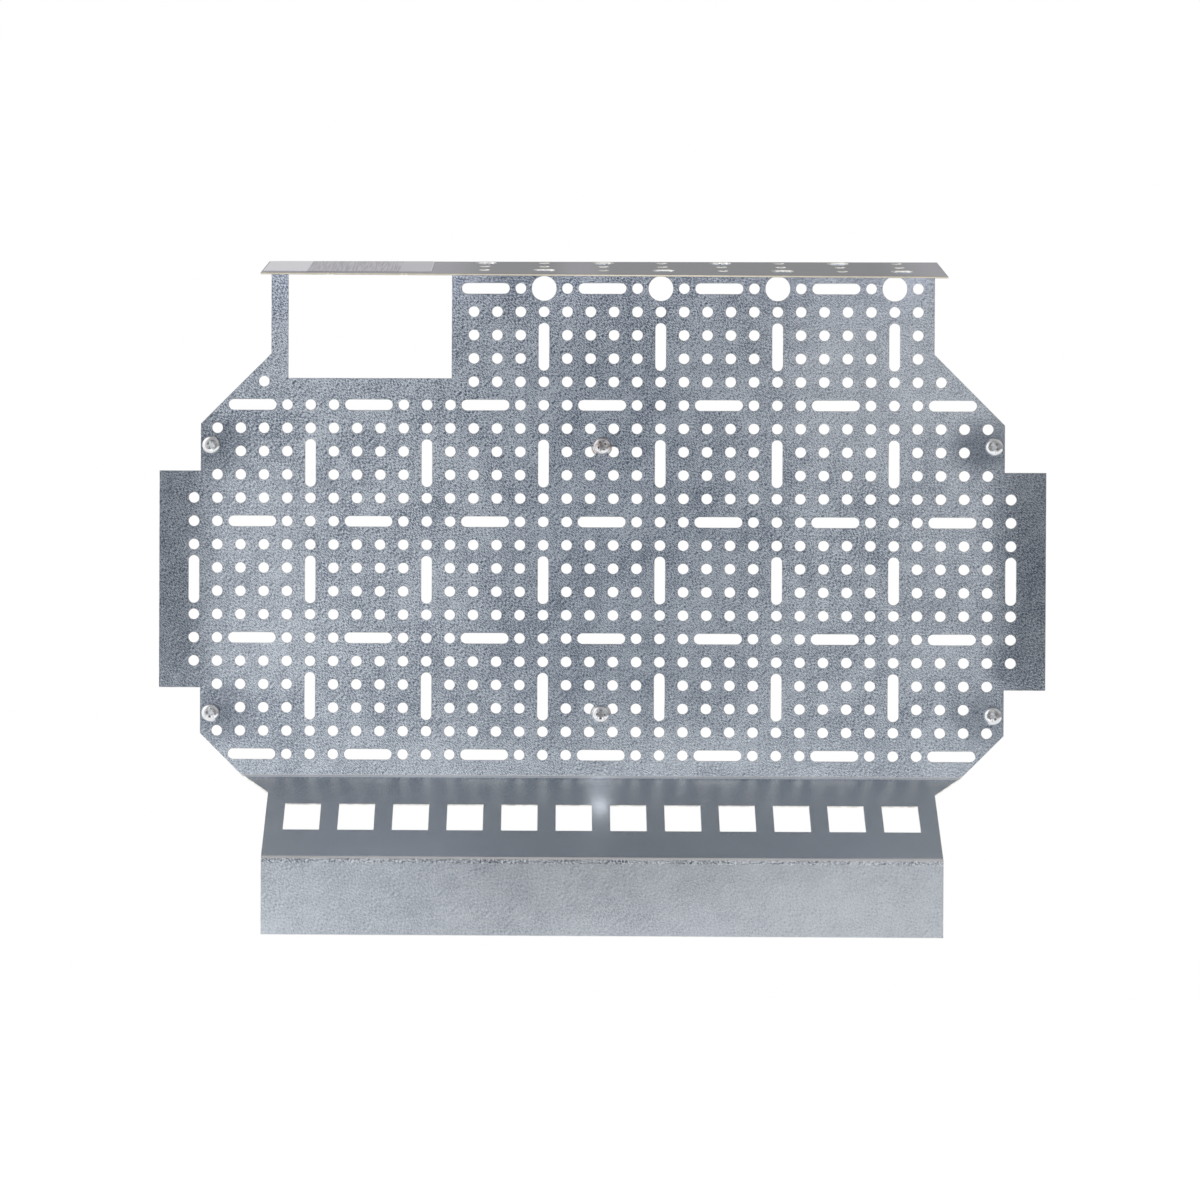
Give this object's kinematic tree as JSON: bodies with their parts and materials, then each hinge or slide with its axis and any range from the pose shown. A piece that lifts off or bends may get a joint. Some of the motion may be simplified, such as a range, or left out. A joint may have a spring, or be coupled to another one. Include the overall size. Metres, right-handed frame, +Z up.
{
  "type": "perforated mounting plate",
  "caption": "Folded perforated steel mounting plate for a recessed low-current enclosure, with a module cut-out, a sloping panel of data socket openings and captive screws.",
  "frame": {"origin": "centre of the six-screw pattern on the back face of the flat panel", "axes": "+X to the right seen from the front, +Y out of the back, +Z up; the front faces -Y"},
  "size_m": [0.38, 0.0588, 0.2855],
  "materials": {
    "galvanised_steel": "galvanised, fine mottled zinc, satin",
    "zinc_screw": "bright zinc plating",
    "nylon": "natural translucent white",
    "label_film": "matt self-adhesive film"
  },
  "bodies": {
    "plate": {"mounting_plate": "galvanised_steel", "label": "label_film"},
    "retainer_upper_left": {"retaining_washer_upper_left": "nylon"},
    "screw_upper_left": {"screw_upper_left": "zinc_screw"},
    "retainer_upper_middle": {"retaining_washer_upper_middle": "nylon"},
    "screw_upper_middle": {"screw_upper_middle": "zinc_screw"},
    "retainer_upper_right": {"retaining_washer_upper_right": "nylon"},
    "screw_upper_right": {"screw_upper_right": "zinc_screw"},
    "retainer_lower_left": {"retaining_washer_lower_left": "nylon"},
    "screw_lower_left": {"screw_lower_left": "zinc_screw"},
    "retainer_lower_middle": {"retaining_washer_lower_middle": "nylon"},
    "screw_lower_middle": {"screw_lower_middle": "zinc_screw"},
    "retainer_lower_right": {"retaining_washer_lower_right": "nylon"},
    "screw_lower_right": {"screw_lower_right": "zinc_screw"}
  },
  "joints": [
    {"name": "screw_upper_left_slide", "type": "slide", "parent": "plate", "child": "retainer_upper_left", "axis": [0, -1, 0], "range_m": [0, 0.003]},
    {"name": "screw_upper_left_turn", "type": "hinge", "parent": "retainer_upper_left", "child": "screw_upper_left", "pos_m": [-0.1675, 0, 0.0575], "axis": [0, -1, 0], "continuous": true},
    {"name": "screw_upper_middle_slide", "type": "slide", "parent": "plate", "child": "retainer_upper_middle", "axis": [0, -1, 0], "range_m": [0, 0.003]},
    {"name": "screw_upper_middle_turn", "type": "hinge", "parent": "retainer_upper_middle", "child": "screw_upper_middle", "pos_m": [0, 0, 0.0575], "axis": [0, -1, 0], "continuous": true},
    {"name": "screw_upper_right_slide", "type": "slide", "parent": "plate", "child": "retainer_upper_right", "axis": [0, -1, 0], "range_m": [0, 0.003]},
    {"name": "screw_upper_right_turn", "type": "hinge", "parent": "retainer_upper_right", "child": "screw_upper_right", "pos_m": [0.1675, 0, 0.0575], "axis": [0, -1, 0], "continuous": true},
    {"name": "screw_lower_left_slide", "type": "slide", "parent": "plate", "child": "retainer_lower_left", "axis": [0, -1, 0], "range_m": [0, 0.003]},
    {"name": "screw_lower_left_turn", "type": "hinge", "parent": "retainer_lower_left", "child": "screw_lower_left", "pos_m": [-0.1675, 0, -0.0575], "axis": [0, -1, 0], "continuous": true},
    {"name": "screw_lower_middle_slide", "type": "slide", "parent": "plate", "child": "retainer_lower_middle", "axis": [0, -1, 0], "range_m": [0, 0.003]},
    {"name": "screw_lower_middle_turn", "type": "hinge", "parent": "retainer_lower_middle", "child": "screw_lower_middle", "pos_m": [0, 0, -0.0575], "axis": [0, -1, 0], "continuous": true},
    {"name": "screw_lower_right_slide", "type": "slide", "parent": "plate", "child": "retainer_lower_right", "axis": [0, -1, 0], "range_m": [0, 0.003]},
    {"name": "screw_lower_right_turn", "type": "hinge", "parent": "retainer_lower_right", "child": "screw_lower_right", "pos_m": [0.1675, 0, -0.0575], "axis": [0, -1, 0], "continuous": true}
  ]
}
